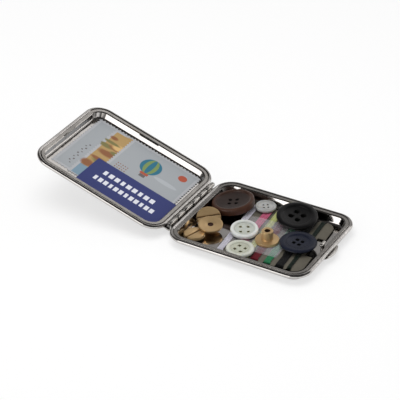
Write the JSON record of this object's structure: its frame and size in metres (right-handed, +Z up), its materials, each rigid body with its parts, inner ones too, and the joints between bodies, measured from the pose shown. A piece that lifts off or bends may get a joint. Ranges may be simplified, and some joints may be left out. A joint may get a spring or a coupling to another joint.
{
  "type": "sewing tin",
  "caption": "Flat hinged metal case, laid open, with a spring catch; buttons, brass binding screws and a card of wound threads in the base, paper stamps and a label in the lid.",
  "frame": {"origin": "centre of the base's flat underside", "axes": "+X from the hinge towards the thumb catch, +Y towards the far long side, +Z up; the lid lies open over -X"},
  "size_m": [0.1392, 0.0554, 0.0255],
  "materials": {
    "nickel": "polished nickel plate",
    "steel": "bright drawn wire",
    "card": "matte grey-olive card",
    "thread_white": "glossy wound thread",
    "thread_pink": "glossy wound thread",
    "thread_yellow": "glossy wound thread",
    "thread_red": "glossy wound thread",
    "thread_green": "glossy wound thread",
    "thread_black": "glossy wound thread",
    "thread_dark_green": "glossy wound thread",
    "film": "thin clear film",
    "button_brown": "polished, marbled",
    "button_clear": "translucent",
    "button_black": "satin",
    "button_navy": "satin",
    "button_pearl": "pearly",
    "button_cream": "satin",
    "brass": "turned and lacquered",
    "stamp_paper": "coated paper",
    "label_paper": "coated paper, printed blue"
  },
  "bodies": {
    "base": {"base_shell": "nickel", "base_rim_frame": "nickel", "base_hinge_leaf": "nickel", "hinge_pin": "steel", "catch_spring": "steel", "thread_card": "card", "white_thread": "thread_white", "pink_thread": "thread_pink", "yellow_thread": "thread_yellow", "red_thread": "thread_red", "green_thread": "thread_green", "black_thread": "thread_black", "dark_green_thread": "thread_dark_green", "clear_film": "film", "brown_button": "button_brown", "clear_button": "button_clear", "black_button": "button_black", "navy_button": "button_navy", "pearl_button": "button_pearl", "cream_button": "button_cream", "brass_post": "brass", "far_slotted_screw": "brass", "near_slotted_screw": "brass", "brass_cap": "brass"},
    "lid": {"lid_shell": "nickel", "lid_rim_frame": "nickel", "lid_hinge_leaf": "nickel", "grey_stamp": "stamp_paper", "picture_stamp": "stamp_paper", "large_stamp": "stamp_paper", "blue_label": "label_paper"},
    "catch": {"catch_hook_strip": "nickel", "catch_thumb_tab": "nickel", "catch_rivets": "nickel"}
  },
  "joints": [
    {"name": "lid_hinge", "type": "hinge", "parent": "base", "child": "lid", "pos_m": [-0.03576, 0, 0.0052], "axis": [0, 1, 0], "range_deg": [0, 162.92]},
    {"name": "catch_press", "type": "slide", "parent": "base", "child": "catch", "axis": [-1, 0, 0], "range_m": [0, 0.0005], "stiffness_N_per_m": 300, "springref_m": -0.0007, "deforming": ["catch_spring"]}
  ]
}
